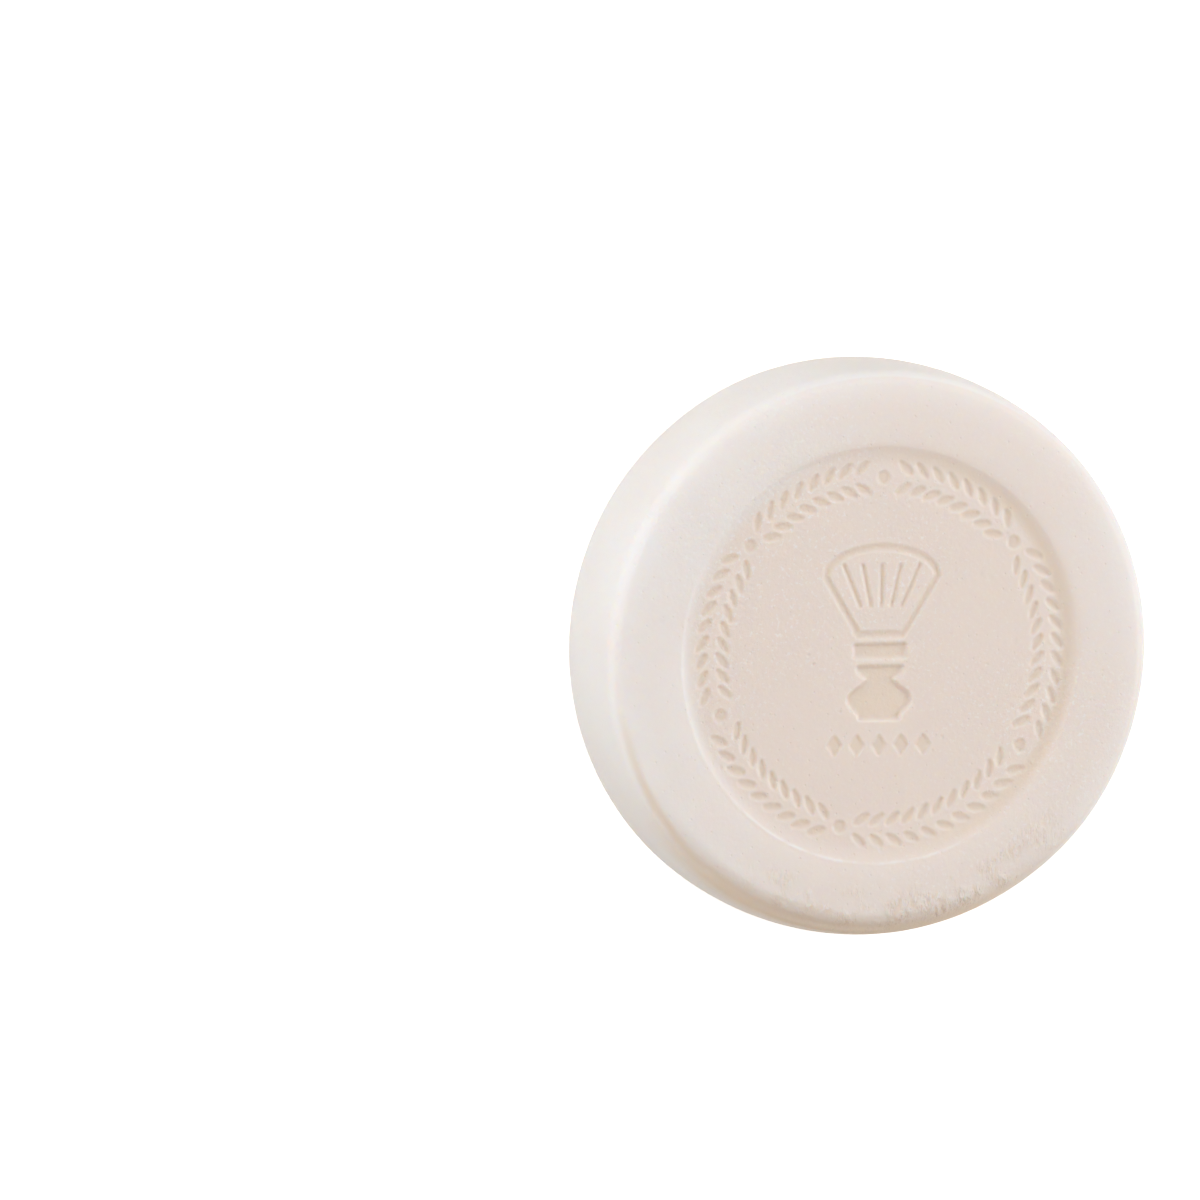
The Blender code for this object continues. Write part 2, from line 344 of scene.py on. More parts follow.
def stepsFor(radius, pitch, before):  # the fewest, doubled; at most twice or half of the ring before
    steps = cake["fewestSteps"]
    while steps < cake["mostSteps"] and 2 * pi * radius / steps > pitch:
        steps *= 2
    return min(max(steps, before // 2), before * 2)


def bridge(shape, inner, outer):  # rings with as many, twice as many or half as many points
    if len(outer) < len(inner):
        inner, outer = outer, inner
    count = len(inner)
    for step in range(count):
        ahead = (step + 1) % count
        if len(outer) == count:
            shape.faces.new((inner[step], outer[step], outer[ahead], inner[ahead]))
            continue
        left, middle, right = outer[2 * step], outer[2 * step + 1], outer[(2 * step + 2) % len(outer)]
        shape.faces.new((inner[step], left, middle))
        shape.faces.new((inner[step], middle, inner[ahead]))
        shape.faces.new((inner[ahead], middle, right))


def pole(shape, height, ring):
    tip = shape.verts.new((0, 0, height))
    for step in range(len(ring)):
        shape.faces.new((tip, ring[step], ring[(step + 1) % len(ring)]))


def meshFrom(name, shape):
    bmesh.ops.recalc_face_normals(shape, faces=shape.faces)
    mesh = bpy.data.meshes.new(name)
    shape.to_mesh(mesh)
    shape.free()
    made = bpy.data.objects.new(name, mesh)
    bpy.context.scene.collection.objects.link(made)
    return made


def turnedBlank():
    shape = bmesh.new()
    rings = []
    steps = cake["fewestSteps"]
    for radius, height, pitch in recessRings() + landRings() + sideRings():
        steps = stepsFor(radius, pitch, steps)
        turns = [2 * pi * step / steps for step in range(steps)]
        rings.append([shape.verts.new((radius * cos(turn), radius * sin(turn), height)) for turn in turns])
    for inner, outer in zip(rings, rings[1:]):
        bridge(shape, inner, outer)
    pole(shape, floorHeight, rings[0])
    pole(shape, 0.0, rings[-1])
    return meshFrom("blank", shape)


# flat stamps for the badge, the dots and the berries; the die's walls spread from their edges

def addPatch(shape, outline):
    shape.faces.new([shape.verts.new((x, y, 0)) for x, y in outline])


def addStroke(shape, outline, width):  # a closed stroke centred on the outline
    count = len(outline)
    rims = []
    for side in (-width / 2, width / 2):
        rim = []
        for step in range(count):
            before, here, after = [Vector(outline[(step + ahead) % count]) for ahead in (-1, 0, 1)]
            wayIn = (here - before).normalized()
            wayOut = (after - here).normalized()
            miter = Vector((wayIn.y + wayOut.y, -wayIn.x - wayOut.x)).normalized()
            stretch = 1 / max(badge["leastMiter"], miter.x * wayIn.y - miter.y * wayIn.x)
            point = here + miter * side * stretch
            rim.append(shape.verts.new((point.x, point.y, 0)))
        rims.append(rim)
    for step in range(count):
        ahead = (step + 1) % count
        shape.faces.new((rims[0][step], rims[0][ahead], rims[1][ahead], rims[1][step]))


def sized(points):
    return [(x * fieldRadius, y * fieldRadius) for x, y in points]


def mirrored(rightSide):
    leftSide = [(-x, y) for x, y in reversed(rightSide) if x > 0]
    return rightSide + leftSide


def disc(x, y, radius):
    turns = [2 * pi * step / band["dotPoints"] for step in range(band["dotPoints"])]
    return [(x + radius * cos(turn), y + radius * sin(turn)) for turn in turns]


def brushHead():
    head = [(badge["headHalfFoot"], badge["headFoot"])]
    crown = badge["headTop"] - badge["headShoulder"]
    for turn in spaced(0, pi / 2, pi / 2 / badge["steps"])[:-1]:
        head.append((badge["headHalfTop"] * cos(turn), badge["headShoulder"] + crown * sin(turn)))
    return sized(mirrored(head + [(0, badge["headTop"])]))


def bristle(place):
    foot = Vector((place * badge["bristlePitchFoot"], badge["bristleFoot"])) * fieldRadius
    top = Vector((place * badge["bristlePitchTop"], badge["bristleTop"])) * fieldRadius
    run = (top - foot).normalized()
    across = Vector((run.y, -run.x)) * (badge["bristleWidth"] - band["softEdge"]) / 2
    return [foot + across, top + across, top - across, foot - across]


def brushSolids():  # ferrule and handle
    shrink = badge["solidEdge"] / 2 / fieldRadius
    half = badge["ferruleHalf"] - shrink
    ferrule = [(half, badge["ferruleFoot"] + shrink), (half, badge["ferruleTop"] - shrink)]
    levels = badge["handleLevels"]
    handle = [levels[0][::-1]]
    for (low, lowHalf), (high, highHalf) in zip(levels, levels[1:]):
        for share in spaced(0, 1, 1 / badge["steps"])[1:]:
            half = lowHalf + (highHalf - lowHalf) * (1 - cos(pi * share)) / 2
            handle.append((half, low + (high - low) * share))
    middle = (levels[0][0] + levels[-1][0]) / 2
    squash = 1 - shrink / (levels[-1][0] - middle)
    handle = [(half - shrink, middle + (y - middle) * squash) for half, y in handle]
    return [sized(mirrored(ferrule)), sized(mirrored(handle))]


def solidStamps():
    shape = bmesh.new()
    for outline in brushSolids():
        addPatch(shape, outline)
    return meshFrom("solidStamps", shape)


def lineStamps():
    shape = bmesh.new()
    addStroke(shape, brushHead(), badge["strokeWidth"] - band["softEdge"])
    for step in range(badge["bristleCount"]):
        addPatch(shape, bristle(step - (badge["bristleCount"] - 1) / 2))
    wide = badge["lozengeHalfWidth"] - band["softEdge"] / 2 / fieldRadius
    tall = badge["lozengeHalfHeight"] - band["softEdge"] / 2 / fieldRadius
    y = badge["rowHeight"]
    for place in range(badge["rowCount"]):
        x = (place - (badge["rowCount"] - 1) / 2) * badge["rowPitch"]
        addPatch(shape, sized([(x + wide, y), (x, y + tall), (x - wide, y), (x, y - tall)]))
    radius = band["dotRadius"] - band["softEdge"] / 2
    for start, end in arcs():
        for angle in (start, (start + end) / 2):
            addPatch(shape, disc(bandMiddle * cos(angle), bandMiddle * sin(angle), radius))
    return meshFrom("lineStamps", shape)


def arcs():  # from one dot to the next
    angles = sorted(band["dotAngles"])
    return list(zip(angles, angles[1:] + [angles[0] + 2 * pi]))


def leafRuns():  # from each dot to the berry half way: first angle, angle step, count, way the leaves point
    leafPitch = (band["leafWidth"] / sin(band["leafSlant"]) + band["leafGap"]) / bandMiddle
    leafReach = band["leafLength"] / 2 * cos(band["leafSlant"])
    clear = (band["dotRadius"] + band["dotGap"] + leafReach) / bandMiddle
    runs = []
    for start, end in arcs():
        berry = (start + end) / 2
        length = berry - start - 2 * clear
        count = int(length / leafPitch)
        runs.append((start + clear, length / count, count + 1, 1))
        runs.append((end - clear, -length / count, count + 1, -1))
    return runs


def groupInputs(tree, sockets):
    for name, kind, default in sockets:
        socket = tree.interface.new_socket(name=name, in_out="INPUT", socket_type="NodeSocket" + kind)
        if default is not None:
            socket.default_value = default
    tree.interface.new_socket(name="Geometry", in_out="OUTPUT", socket_type="NodeSocketGeometry")


def leafRunTree():  # one row of leaves along the band
    tree = bpy.data.node_groups.new("leafRun", "GeometryNodeTree")
    groupInputs(tree, [
        ("First Angle", "Float", 0.0),
        ("Angle Step", "Float", 0.1),
        ("Count", "Int", 5),
        ("Way", "Float", 1.0),
        ("Side", "Float", 1.0),
        ("Band Radius", "Float", bandMiddle),
        ("Length", "Float", band["leafLength"]),
        ("Width", "Float", band["leafWidth"]),
        ("Slant", "Float", band["leafSlant"]),
        ("Spread", "Float", leafSpread),
        ("Seed", "Int", band["seed"]),
    ])
    graph = Graph(tree)
    given = graph.node("NodeGroupInput")
    circle = graph.node("GeometryNodeMeshCircle", {"fill_type": "NGON"},
                        {"Vertices": band["leafPoints"], "Radius": 1.0})
    x, y, z = graph.split(graph.node("GeometryNodeInputPosition"))
    half = y * graph.math("ABSOLUTE", y) ** band["leafFullness"] * (1.0 - band["leafTaper"] * x)
    shaped = graph.join(x * given.out("Length") / 2.0, half * given.out("Width") / 2.0, 0.0)
    leaf = graph.node("GeometryNodeSetPosition", None, {"Geometry": circle, "Position": shaped})
    index = graph.node("GeometryNodeInputIndex")
    angle = given.out("First Angle") + index * given.out("Angle Step")
    radius = given.out("Band Radius") + given.out("Side") * given.out("Spread")
    where = graph.join(graph.math("COSINE", angle) * radius, graph.math("SINE", angle) * radius, 0.0)
    points = graph.node("GeometryNodePoints", None, {"Count": given.out("Count"), "Position": where})
    lean = graph.random(-band["leafLean"], band["leafLean"], index, given.out("Seed"))
    turn = angle + given.out("Way") * (pi / 2 - given.out("Side") * given.out("Slant")) + lean
    sizeSeed = given.out("Seed") + band["sizeSeed"]
    size = graph.random(band["leafSmallest"], band["leafLargest"], index, sizeSeed)
    leaves = graph.node("GeometryNodeInstanceOnPoints", None,
                        {"Points": points, "Instance": leaf, "Rotation": graph.join(0.0, 0.0, turn),
                         "Scale": graph.join(size, size, 1.0)})
    graph.node("NodeGroupOutput", None, {"Geometry": leaves})
    return tree


skin = {  # what pressing and handling leave on the soap
    "unevenness": 0.00005,
    "grainHeight": 0.000008,
    "pitDepth": 0.00009,
    "pitScale": 420.0,
    "pitEdge": (0.04, 0.10),
    "tilt": 0.00014,            # the die sat a little askew: the recess is deeper on one side
    "tiltTurn": radians(340),
    "edgeWobble": 0.00009,      # ragged walls of the ornament
    "lip": 0.00002,             # soap pushed up beside a struck shape
    "lipWidth": 0.00035,
    "frontMargin": 0.00002,     # the face starts this far below the recess's floor
    "leastRadius": 0.0001,      # keeps sectors sound in the very middle
    "upperShare": 0.6,          # wear of the edge eases in from here up
    "crumbDepth": 0.00022,      # scraped patch on the land's lower edge
    "markDepth": 0.00004,       # faint marks on the land's upper edge
    "crumbInner": cake["radius"] - 0.0065,
    "crumbInnerEase": 0.0014,
    "crumbOuter": cake["radius"] - 0.0014,
    "crumbOuterEase": 0.0008,
    "crumbPatch": (0.40, 0.60),
    "crumbStretch": (1.4, 0.7),
    "edgeWear": 0.00095,        # the lower front edge is worn down
    "wearInner": cake["radius"] - 0.0034,
    "wearOuter": cake["radius"] - 0.0010,
    "beadHeight": 0.00006,      # crisp bead along the recess's lower left rim; its pale line is a painted highlight
    "beadWidth": 0.00034,
    "beadOut": 0.4,             # share of its width that it lies outside the rim
    "beadWobble": 1.4,
    "beadBreak": (0.38, 0.60),
    "beadLeast": 0.25,
    "creaseDepth": 0.00020,     # a crease left by the mould just outside the land
    "creaseWidth": 0.00070,
    "creaseOut": 0.00055,
    "creaseWander": 0.00030,
}

sectors = {  # parts of the face: the way to the middle, and how far they spread to each side
    "crumbs": (radians(279), radians(48)),
    "marks": (radians(112), radians(26)),
    "wear": (radians(264), radians(60)),
    "beadAndHighlight": (radians(226), radians(92)),
    "creaseAndShade": (radians(240), radians(58)),
    "shadowSide": (radians(4), radians(110)),    # painted shadow: the recess's foot and lower wall on this side are drawn darker and warmer
    "litSide": (radians(165), radians(80)),   # painted light: the wall and the land on the upper left are drawn paler
    # painted shade: on these two sides the pale skin is drawn weaker
    "shadedLow": (radians(305), radians(75)),
    "shadedHigh": (radians(70), radians(48)),
}
sectorCore = 0.35  # share of a sector that keeps full strength

skinPatterns = {
    "uneven": (95.0, 2.0, 0.5, (0, 0, 0)),
    "grainy": (900.0, 3.0, 0.6, (0.4, 0.1, 0.2)),
    "streaky": (1200.0, 2.0, 0.6, (0.3, 0.8, 0.5)),
    "patchy": (330.0, 2.0, 0.5, (0.9, 0.2, 0.7)),
    "wobble": (1500.0, 2.0, 0.5, (0.6, 0.6, 0.1)),
    "wander": (260.0, 2.0, 0.5, (0.2, 0.4, 0.8)),
    "broken": (340.0, 2.0, 0.6, (0.8, 0.5, 0.3)),
}

tints = {  # how strongly each mark shows in the colour; most are painted light or painted shade, the land's dry skin is not
    "land": 0.40,
    "landInner": 0.0004,        # the dry skin starts this far inside the rim
    "landOuter": 0.0008,
    # painted light on the lit upper left side
    "litSide": 0.20,
    # painted shade on two sides
    "shadedLow": 0.50,
    "shadedHigh": 0.42,
    # paler towards the outer edge: dry skin, and painted light where the edge catches it
    "edge": 0.32,
    "edgeInner": cake["radius"] - 0.0054,
    "edgeOuter": cake["radius"] - 0.0014,
    # painted shade: the worn lower edge is drawn less pale
    "wornAndShadedSkin": 0.9,
    # painted highlight along the bead
    "beadAndHighlight": 0.8,
    "shadowSide": 0.9,
    "shadowSideWall": 0.4,           # share of the recess's wall that takes the full painted shadow
    # painted shade along the crease and on the worn lower edge
    "creaseAndShade": 1.2,
    "wornAndShaded": 1.5,
}


class Face:  # where each point of the cake lies, seen from above
    def __init__(self, graph, given):
        self.graph = graph
        self.position = graph.node("GeometryNodeInputPosition")
        self.x, self.y, self.z = graph.split(self.position)
        self.flat = graph.join(self.x, self.y, 0.0)
        self.radius = graph.math("SQRT", self.x * self.x + self.y * self.y)
        self.onFront = graph.math("GREATER_THAN", self.z, given.out("Floor Height") - skin["frontMargin"])
        self.onFloor = graph.math("LESS_THAN", self.radius, given.out("Floor Radius")) * self.onFront
        self.upper = graph.smooth(self.z, cake["height"] * skin["upperShare"], cake["height"])
        self.wobble = graph.waves(self.flat, skinPatterns["wobble"]) * given.out("Edge Wobble")

    def toward(self, turn):  # how far it lies that way from the middle
        return self.x * cos(turn) + self.y * sin(turn)

    def sector(self, name):  # 1 in the middle of a sector, easing to 0
        turn, spread = sectors[name]
        along = self.toward(turn) / self.graph.math("MAXIMUM", self.radius, skin["leastRadius"])
        return self.graph.smooth(along, cos(spread), cos(spread * sectorCore))


def dieShapes(graph, given):  # lines with the laurel, and the filled shapes
    leafRun = leafRunTree()
    shapes = [graph.node("GeometryNodeObjectInfo", None, {"Object": given.out("Line Stamps")}, "Geometry")]
    for row, (first, step, count, way) in enumerate(leafRuns()):
        for side in (1, -1):
            shapes.append(graph.node("GeometryNodeGroup", {"node_tree": leafRun}, {
                "First Angle": first,
                "Angle Step": step,
                "Count": count,
                "Way": way,
                "Side": side,
                "Band Radius": given.out("Band Radius"),
                "Length": given.out("Leaf Length"),
                "Width": given.out("Leaf Width"),
                "Slant": given.out("Leaf Slant"),
                "Spread": given.out("Leaf Spread"),
                "Seed": given.out("Seed") + (row * 2 + side),
            }))
    lines = graph.node("GeometryNodeRealizeInstances", None, {"Geometry": graph.together(shapes)})
    solids = graph.node("GeometryNodeObjectInfo", None, {"Object": given.out("Solid Stamps")}, "Geometry")
    return lines, solids


def dieMarks(face, given):  # the struck lines, the filled shapes, both of them, and the lip beside them
    graph = face.graph
    lines, solids = dieShapes(graph, given)
    lineGap = graph.distance(lines, face.flat)
    solidGap = graph.distance(solids, face.flat)
    line = graph.fall(lineGap + face.wobble, 0.0, given.out("Soft Edge"))
    solid = graph.fall(solidGap + face.wobble, 0.0, given.out("Solid Edge"))
    pressed = graph.math("MAXIMUM", line, solid) * face.onFloor
    nearest = graph.math("MINIMUM", lineGap, solidGap) + face.wobble
    lip = graph.fall(nearest, band["softEdge"], band["softEdge"] + skin["lipWidth"])
    return line, solid, pressed, lip * (1.0 - pressed) * face.onFloor


def handlingMarks(face, given):  # the worn edge, the crease and the bead
    graph = face.graph
    wornAndShaded = graph.smooth(face.radius, skin["wearInner"], skin["wearOuter"])
    wornAndShaded = wornAndShaded * face.upper * face.sector("wear")
    wander = graph.waves(face.flat, skinPatterns["wander"]) * skin["creaseWander"]
    offCrease = face.radius - (landRadius + skin["creaseOut"]) + face.wobble + wander
    creaseAndShade = graph.fall(graph.math("ABSOLUTE", offCrease), 0.0, skin["creaseWidth"])
    creaseAndShade = creaseAndShade * face.upper * face.sector("creaseAndShade")
    beadRadius = given.out("Rim Radius") + skin["beadWidth"] * skin["beadOut"]
    offBead = face.radius - beadRadius + face.wobble * skin["beadWobble"]
    broken = graph.noise(face.flat, skinPatterns["broken"])
    broken = graph.smooth(broken, *skin["beadBreak"], skin["beadLeast"])
    beadAndHighlight = graph.fall(graph.math("ABSOLUTE", offBead), 0.0, skin["beadWidth"])
    return wornAndShaded, creaseAndShade, beadAndHighlight * face.onFront * broken * face.sector("beadAndHighlight")


def surfaceLift(face, given):  # small ups and downs along the normal, and where the land is crumbly
    graph = face.graph
    uneven = graph.waves(face.position, skinPatterns["uneven"])
    grainy = graph.waves(face.position, skinPatterns["grainy"])
    stretchX, stretchY = skin["crumbStretch"]
    stretched = graph.join(face.x * stretchX, face.y * stretchY, face.z)
    streaky = graph.waves(stretched, skinPatterns["streaky"])
    patchy = graph.smooth(graph.noise(face.position, skinPatterns["patchy"]), *skin["crumbPatch"])
    innerEdge = graph.smooth(face.radius, skin["crumbInner"], skin["crumbInner"] + skin["crumbInnerEase"])
    outerEdge = graph.fall(face.radius, skin["crumbOuter"] - skin["crumbOuterEase"], skin["crumbOuter"])
    crumbRing = innerEdge * outerEdge
    crumbly = crumbRing * face.sector("crumbs") * patchy * face.onFront
    marked = crumbRing * face.sector("marks") * patchy * face.onFront
    pitted = graph.pits(face.position, skin["pitScale"], *skin["pitEdge"])
    lift = uneven * given.out("Unevenness") + grainy * skin["grainHeight"]
    lift = lift + streaky * (crumbly * given.out("Crumb Depth") + marked * given.out("Mark Depth"))
    return lift - pitted * given.out("Pit Depth"), crumbly


def drySkinAndPaintedLight(face, given, wornAndShaded, beadAndHighlight):  # 1 where the soap is drawn pale: dry skin on the land, and painted light on the lit upper left, the outer edge, the side and the bead; painted shade keeps it less pale on two sides and on the worn lower edge
    graph = face.graph
    rim = given.out("Rim Radius")
    landed = graph.smooth(face.radius, rim - tints["landInner"], rim + tints["landOuter"])
    edgeSkinAndLight = graph.smooth(face.radius, tints["edgeInner"], tints["edgeOuter"])
    # painted light: paler on the lit upper left wall and land
    litSide = graph.smooth(face.radius, floorRadius - cake["recessFoot"], rimRadius) * face.sector("litSide")
    skinAndLight = graph.math("MAXIMUM", landed, litSide) * (tints["land"] + litSide * tints["litSide"])
    # painted shade: less pale on two sides
    for name in ("shadedLow", "shadedHigh"):
        skinAndLight = skinAndLight * (1.0 - face.sector(name) * tints[name])
    # the side is drawn fully pale: dry skin, and painted light
    dry = graph.math("MAXIMUM", skinAndLight + edgeSkinAndLight * tints["edge"], 1.0 - face.onFront)
    return graph.math("MAXIMUM", dry * (1.0 - wornAndShaded * tints["wornAndShadedSkin"]), beadAndHighlight * tints["beadAndHighlight"])


def paintedShade(face, pressed, wornAndShaded, creaseAndShade):  # 1 where shade is painted, darker and warmer: in the struck shapes, on the recess's shadowed right side, along the crease and on the worn lower edge
    graph = face.graph
    # painted shadow over the recess's foot and lower wall on its right side, where a lamp's shadow falls
    shadowSideEnd = floorRadius + cake["recessWall"] * tints["shadowSideWall"]
    shadowSide = graph.smooth(face.radius, floorRadius - cake["recessFoot"], floorRadius)
    shadowSide = shadowSide * graph.fall(face.radius, shadowSideEnd, rimRadius) * face.sector("shadowSide")
    # painted shade along the crease and the worn lower edge
    edgeShade = graph.math("MAXIMUM", creaseAndShade * tints["creaseAndShade"], wornAndShaded * wornAndShaded * tints["wornAndShaded"])
    warm = graph.math("MAXIMUM", pressed, shadowSide * tints["shadowSide"])
    return graph.math("MAXIMUM", warm, edgeShade)


def strikeTree():  # the die: laurel, badge, and the small unevenness of pressed and handled soap
    tree = bpy.data.node_groups.new("strike", "GeometryNodeTree")
    groupInputs(tree, [
        ("Geometry", "Geometry", None),
        ("Soap", "Material", None),
        ("Line Stamps", "Object", None),
        ("Solid Stamps", "Object", None),
        ("Band Radius", "Float", bandMiddle),
        ("Leaf Length", "Float", band["leafLength"] - band["softEdge"]),
        ("Leaf Width", "Float", band["leafWidth"] - band["softEdge"]),
        ("Leaf Slant", "Float", band["leafSlant"]),
        ("Leaf Spread", "Float", leafSpread),
        ("Depth", "Float", band["depth"]),
        ("Soft Edge", "Float", band["softEdge"]),
        ("Solid Depth", "Float", badge["solidDepth"]),
        ("Solid Edge", "Float", badge["solidEdge"]),
        ("Floor Radius", "Float", floorRadius),
        ("Floor Height", "Float", floorHeight),
        ("Rim Radius", "Float", rimRadius),
        ("Unevenness", "Float", skin["unevenness"]),
        ("Edge Wobble", "Float", skin["edgeWobble"]),
        ("Lip", "Float", skin["lip"]),
        ("Pit Depth", "Float", skin["pitDepth"]),
        ("Crumb Depth", "Float", skin["crumbDepth"]),
        ("Mark Depth", "Float", skin["markDepth"]),
        ("Edge Wear", "Float", skin["edgeWear"]),
        ("Crease Depth", "Float", skin["creaseDepth"]),
        ("Bead Height", "Float", skin["beadHeight"]),
        ("Tilt", "Float", skin["tilt"]),
        ("Seed", "Int", band["seed"]),
    ])
    graph = Graph(tree)
    given = graph.node("NodeGroupInput")
    face = Face(graph, given)
    line, solid, pressed, lip = dieMarks(face, given)
    wornAndShaded, creaseAndShade, beadAndHighlight = handlingMarks(face, given)
    lift, crumbly = surfaceLift(face, given)
    tilted = face.toward(skin["tiltTurn"]) / floorRadius * given.out("Tilt")
    tilted = tilted * graph.fall(face.radius, floorRadius, rimRadius) * face.onFront
    sinking = (line * given.out("Depth") + solid * given.out("Solid Depth")) * face.onFloor + tilted
    sinking = sinking + creaseAndShade * given.out("Crease Depth") + wornAndShaded * given.out("Edge Wear")
    sinking = sinking - lip * given.out("Lip") - beadAndHighlight * given.out("Bead Height")
    normal = graph.node("GeometryNodeInputNormal")
    along = graph.node("ShaderNodeVectorMath", {"operation": "SCALE"}, {"Vector": normal, "Scale": lift})
    sunk = graph.join(0.0, 0.0, -sinking)
    offset = graph.node("ShaderNodeVectorMath", {"operation": "ADD"}, {0: along, 1: sunk})
    values = {  # read by the soap's material
        # painted shade, read by the soap's material
        "pressed": paintedShade(face, pressed, wornAndShaded, creaseAndShade),
        "dry": drySkinAndPaintedLight(face, given, wornAndShaded, beadAndHighlight),
        "crumbly": crumbly,
    }
    marked = given.out("Geometry")
    for name, value in values.items():
        marked = graph.node("GeometryNodeStoreNamedAttribute", {"data_type": "FLOAT", "domain": "POINT"},
                            {"Geometry": marked, "Name": name, "Value": value})
    moved = graph.node("GeometryNodeSetPosition", None, {"Geometry": marked, "Offset": offset})
    whole = graph.node("GeometryNodeRealizeInstances", None, {"Geometry": moved})
    soaped = {"Geometry": whole, "Material": given.out("Soap")}
    dressed = graph.node("GeometryNodeSetMaterial", None, soaped)
    graph.node("NodeGroupOutput", None, {"Geometry": dressed})
    return tree


def strike(blank, lineStamp, solidStamp, material):  # the struck blank as a plain mesh
    modifier = blank.modifiers.new("strike", "NODES")
    modifier.node_group = strikeTree()
    settings = {"Line Stamps": lineStamp, "Solid Stamps": solidStamp, "Soap": material}
    for item in modifier.node_group.interface.items_tree:
        if item.name in settings:
            modifier[item.identifier] = settings[item.name]
    bpy.context.view_layer.update()
    evaluated = blank.evaluated_get(bpy.context.evaluated_depsgraph_get())
    mesh = bpy.data.meshes.new_from_object(evaluated)
    mesh.name = "soap_cake"
    struck = bpy.data.objects.new("soap_cake", mesh)
    bpy.context.scene.collection.objects.link(struck)
    mesh.shade_smooth()
    for spare in (blank, lineStamp, solidStamp):
        bpy.data.objects.remove(spare)
    return struck


# hard white soap with a warm cast, slightly see-through, with a dry skin; some light and shade are painted
# into its colour

soap = {
    "cream": (0.785, 0.690, 0.630, 1),
    "shadeAndCrumbTan": (0.765, 0.640, 0.510, 1),    # painted shade: darker and warmer in the struck shapes, on the recess's shadowed side, along the crease and on the worn lower edge; also the scraped crumbs' own tan
    "bloomAndLight": (0.832, 0.810, 0.800, 1),   # dry skin on the land; on the edge and the side partly painted light
    "deepShare": 0.55,
    "crumbShare": 0.5,
    "bloomShare": 0.78,
    "bloomClouds": 0.30,
    "speckShare": 0.18,
    "speckRubbed": 0.40,        # and that much more of them where the skin is rubbed
    "roughness": 0.46,
    "cloudRoughness": 0.06,
    "speckRoughness": 0.08,
    "dryRoughness": 0.08,
    "subsurface": 0.8,
    "subsurfaceRadius": (1.0, 0.70, 0.45),
    "subsurfaceScale": 0.0015,
    "refraction": 1.46,
    "shine": 0.32,
    "bumpStrength": 0.80,
    "bumpDistance": 0.00008,
    "grainHeight": 0.45,
    "rippleHeight": 0.5,
    "pitHeight": 0.6,
    "streakHeight": 2.0,
    "pitScale": 900.0,
    "pitEdge": (0.06, 0.16),
    "streakScale": (2100.0, 800.0, 2100.0),
    "cloudStep": (0.32, 0.70),
    "speckStep": (0.56, 0.70),
    "rubbedStep": (0.40, 0.62),
    "streakStep": (0.36, 0.64),
}

soapPatterns = {
    "cloudy": (70.0, 3.0, 0.5, (0, 0, 0)),
    "specks": (2300.0, 2.0, 0.6, (0.2, 0.7, 0.1)),
    "rubbed": (45.0, 2.0, 0.5, (0.5, 0.3, 0.9)),
    "streaks": (1.0, 2.0, 0.6, (0, 0, 0)),
    "grain": (2200.0, 3.0, 0.6, (0, 0, 0)),
    "ripples": (800.0, 2.0, 0.5, (0.1, 0.6, 0.4)),
}


def mixColour(graph, share, first, second):
    blend = {"Factor": share, "A": first, "B": second}
    return graph.node("ShaderNodeMix", {"data_type": "RGBA"}, blend, "Result")


def meshValue(graph, name):
    return graph.node("ShaderNodeAttribute", {"attribute_name": name}, None, "Fac")


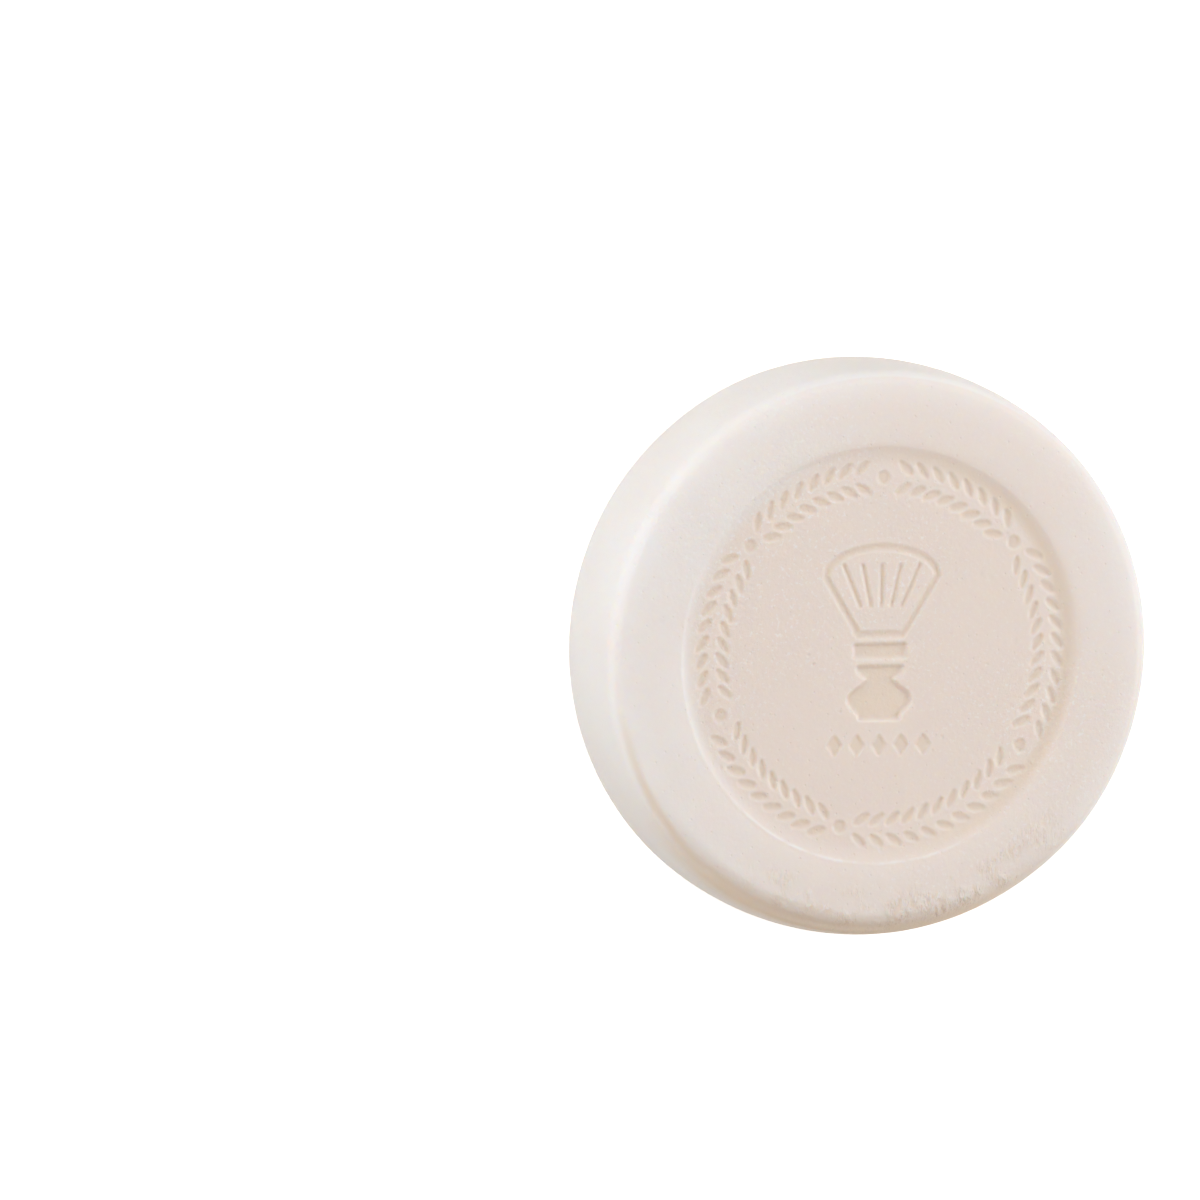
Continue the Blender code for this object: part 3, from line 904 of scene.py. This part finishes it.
def soapMaterial():
    material = bpy.data.materials.new("creamSoap")
    material.use_nodes = True
    graph = Graph(material.node_tree)
    where = graph.node("ShaderNodeTexCoord", None, None, "Object")
    pressed = meshValue(graph, "pressed")
    dry = meshValue(graph, "dry")
    crumbly = meshValue(graph, "crumbly")
    cloudy = graph.smooth(graph.noise(where, soapPatterns["cloudy"]), *soap["cloudStep"])
    specks = graph.smooth(graph.noise(where, soapPatterns["specks"]), *soap["speckStep"])
    rubbed = graph.smooth(graph.noise(where, soapPatterns["rubbed"]), *soap["rubbedStep"])
    drawn = graph.node("ShaderNodeMapping", None, {"Vector": where, "Scale": soap["streakScale"]})
    streaks = graph.smooth(graph.noise(drawn, soapPatterns["streaks"]), *soap["streakStep"])
    # pale dry skin, and painted light on the lit side, the outer edge and the side
    bloomAndLight = graph.math("MINIMUM", dry * (soap["bloomShare"] + cloudy * soap["bloomClouds"]), 1.0)
    specked = specks * (soap["speckShare"] + rubbed * soap["speckRubbed"])
    colour = mixColour(graph, bloomAndLight, soap["cream"], soap["bloomAndLight"])
    colour = mixColour(graph, specked, colour, soap["bloomAndLight"])
    # painted shade: the struck shapes, the recess's shadowed side, the crease and the worn lower edge are
    # drawn darker and warmer
    colour = mixColour(graph, pressed * soap["deepShare"], colour, soap["shadeAndCrumbTan"])
    colour = mixColour(graph, crumbly * (1.0 - streaks) * soap["crumbShare"], colour, soap["shadeAndCrumbTan"])
    grain = graph.noise(where, soapPatterns["grain"])
    ripples = graph.noise(where, soapPatterns["ripples"])
    pits = graph.pits(where, soap["pitScale"], *soap["pitEdge"])
    height = grain * (soap["grainHeight"] + rubbed) + ripples * soap["rippleHeight"]
    height = height - pits * soap["pitHeight"] + streaks * crumbly * soap["streakHeight"]
    bump = graph.node("ShaderNodeBump", None, {
        "Strength": soap["bumpStrength"],
        "Distance": soap["bumpDistance"],
        "Height": height,
    })
    roughness = soap["roughness"] + cloudy * soap["cloudRoughness"]
    roughness = roughness + specks * soap["speckRoughness"] + dry * soap["dryRoughness"]
    shader = graph.node("ShaderNodeBsdfPrincipled", None, {
        "Base Color": colour,
        "Roughness": roughness,
        "Normal": bump,
        "Subsurface Weight": soap["subsurface"],
        "Subsurface Radius": soap["subsurfaceRadius"],
        "Subsurface Scale": soap["subsurfaceScale"],
        "IOR": soap["refraction"],
        "Specular IOR Level": soap["shine"],
    })
    graph.node("ShaderNodeOutputMaterial", None, {"Surface": shader})
    return material


def buildCake():
    piece = strike(turnedBlank(), lineStamps(), solidStamps(), soapMaterial())
    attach(piece, "root")
    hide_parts("soap_puck")
    print("soap cake:", len(piece.data.polygons), "faces")


buildCake()


# floor, world, lamps and camera

studio = {
    "white": (1.0, 1.0, 1.0, 1),
    "floorSize": 6.0,
    "floorColour": (0.68, 0.62, 0.55, 1),
    "floorGlow": 0.80,          # only as the camera sees the floor, so that it comes out white
    "fillColour": (1.18, 1.0, 0.81, 1),
    "fillStrength": 0.36,
    "lampDistance": 0.8,
    "lampColour": (0.90, 1.0, 1.10),
    "lamps": {                  # turn round the cake, height angle, size, watts
        "right": (-3, 20, 0.14, 2.60),
        "upperRight": (30, 62, 0.30, 1.35),
        "top": (100, 24, 0.25, 0.90),
        "upperLeft": (145, 42, 0.25, 1.90),
        "lowLeft": (182, 7, 0.20, 1.80),
    },
    "faceTurn": (-0.3232, 0.1119, 0.9397),   # from the cake's face towards the camera
    "viewUp": (0.0186, 0.9935, -0.1119),
    "distance": 1.0,
    "viewWidth": 0.132,         # at the cake
    "sideShift": 0.03106,       # the cake stands right of and below the middle of the view
    "downShift": 0.00605,
    "sensorWidth": 36.0,
    "clipStart": 0.01,
}


def seenDirectly(graph):  # 1 for rays from the camera, and for what shows in gloss or through glass
    path = graph.node("ShaderNodeLightPath")
    seen = graph.math("MAXIMUM", path.out("Is Camera Ray"), path.out("Is Glossy Ray"))
    return graph.math("MAXIMUM", seen, path.out("Is Transmission Ray"))


def makeFloor():
    shape = bmesh.new()
    half = studio["floorSize"] / 2
    addPatch(shape, [(-half, -half), (half, -half), (half, half), (-half, half)])
    floor = meshFrom("floor", shape)
    material = bpy.data.materials.new("paleFloor")
    material.use_nodes = True
    graph = Graph(material.node_tree)
    matte = graph.node("ShaderNodeBsdfDiffuse", None, {"Color": studio["floorColour"]})
    seenGlow = seenDirectly(graph) * studio["floorGlow"]
    glow = graph.node("ShaderNodeEmission", None, {"Color": studio["white"], "Strength": seenGlow})
    both = graph.node("ShaderNodeAddShader", None, {0: matte, 1: glow})
    graph.node("ShaderNodeOutputMaterial", None, {"Surface": both})
    floor.data.materials.append(material)


def makeWorld():
    world = bpy.data.worlds.new("studio")
    world.use_nodes = True
    graph = Graph(world.node_tree)
    fill = graph.node("ShaderNodeBackground", None,
                      {"Color": studio["fillColour"], "Strength": studio["fillStrength"]})
    white = graph.node("ShaderNodeBackground", None, {"Color": studio["white"], "Strength": 1.0})
    seen = graph.node("ShaderNodeMixShader", None, {0: seenDirectly(graph), 1: fill, 2: white})
    graph.node("ShaderNodeOutputWorld", None, {"Surface": seen})
    bpy.context.scene.world = world


def makeLamps(target):
    for name, (turn, rise, size, power) in studio["lamps"].items():
        light = bpy.data.lights.new(name, "AREA")
        light.size = size
        light.energy = power
        light.color = studio["lampColour"]
        lamp = bpy.data.objects.new(name, light)
        level = cos(radians(rise))
        way = Vector((level * cos(radians(turn)), level * sin(radians(turn)), sin(radians(rise))))
        lamp.location = target + way * studio["lampDistance"]
        lamp.rotation_euler = way.to_track_quat("Z", "Y").to_euler()
        lamp.visible_camera = False
        bpy.context.scene.collection.objects.link(lamp)


def makeCamera(target):
    back = Vector(studio["faceTurn"]).normalized()
    up = Vector(studio["viewUp"]).normalized()
    right = up.cross(back)
    eye = target + back * studio["distance"]
    aim = target - right * studio["sideShift"] + up * studio["downShift"]
    depth = (eye - aim).normalized()
    across = up.cross(depth).normalized()
    turned = Matrix((across, depth.cross(across), depth)).transposed()
    data = bpy.data.cameras.new("camera")
    data.sensor_width = studio["sensorWidth"]
    data.lens = data.sensor_width * (eye - aim).length / studio["viewWidth"]
    data.clip_start = studio["clipStart"]
    camera = bpy.data.objects.new("camera", data)
    camera.matrix_world = Matrix.Translation(eye) @ turned.to_4x4()
    bpy.context.scene.collection.objects.link(camera)
    bpy.context.scene.camera = camera


faceMiddle = Vector((0, 0, boxHigh.z))
makeFloor()
makeWorld()
makeLamps(faceMiddle)
makeCamera(faceMiddle)
bpy.context.scene.view_settings.view_transform = "Standard"
print("studio ready")
